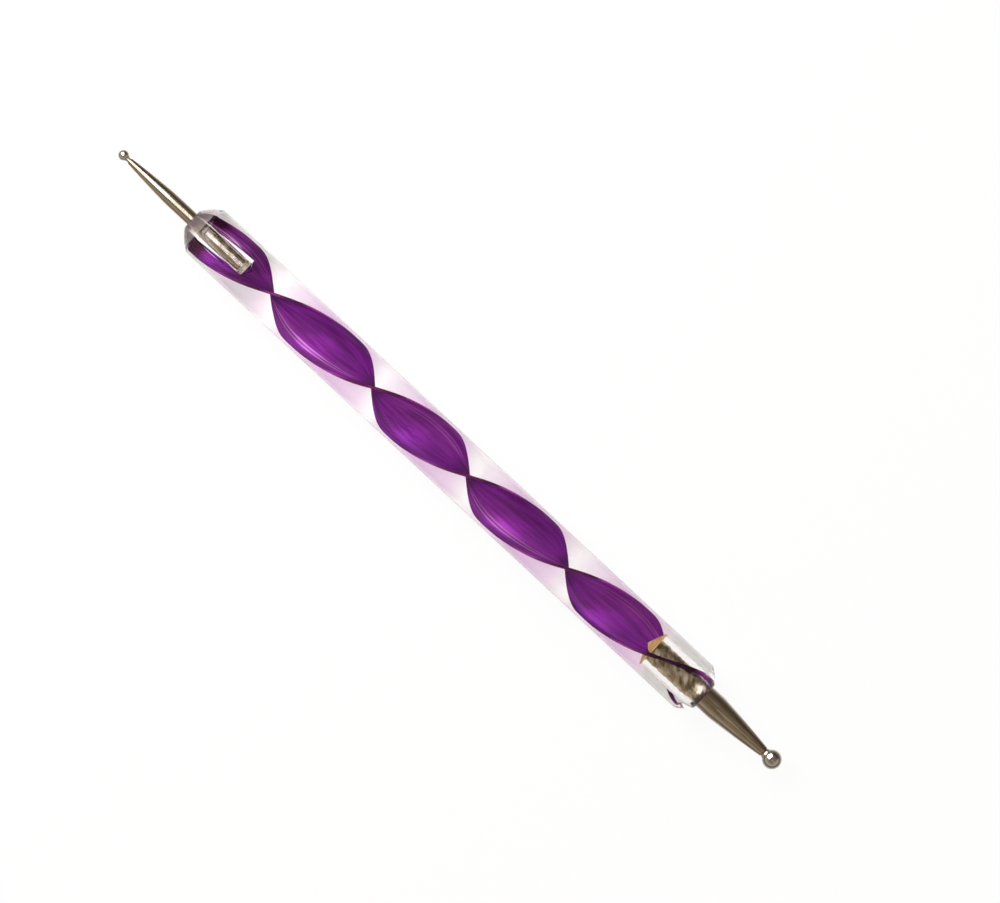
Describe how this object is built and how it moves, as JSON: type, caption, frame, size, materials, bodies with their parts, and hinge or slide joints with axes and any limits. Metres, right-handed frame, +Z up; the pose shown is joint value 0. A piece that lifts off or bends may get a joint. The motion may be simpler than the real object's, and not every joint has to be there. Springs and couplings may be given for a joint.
{
  "type": "dotting tool",
  "caption": "Hand-held dotting tool: a clear acrylic rod with a twisted purple ribbon inside, and a steel ball point glued into each end, one fine and one broad.",
  "frame": {"origin": "middle of the tool's box, on the axis of the rod", "axes": "+X along the rod from the fine ball to the broad ball, +Z up with the tool lying on a table"},
  "size_m": [0.1264, 0.008, 0.008],
  "materials": {
    "clear_acrylic": "clear, polished barrel, finely turned noses",
    "purple_ribbon": "satin with fine lengthwise streaks",
    "turned_steel": "turned, with fine rings",
    "polished_steel": "polished",
    "silver_braze": "smooth, as it set",
    "clear_glue": "cured, slightly cloudy",
    "amber_glue": "cured, amber"
  },
  "bodies": {
    "root": {"handle_rod": "clear_acrylic", "twist_ribbon": "purple_ribbon", "fine_pin": "turned_steel", "fine_ball": "polished_steel", "fine_ball_braze": "silver_braze", "fine_adhesive": "clear_glue", "broad_pin": "turned_steel", "broad_ball": "polished_steel", "broad_ball_braze": "silver_braze", "broad_adhesive": "amber_glue"}
  },
  "joints": []
}
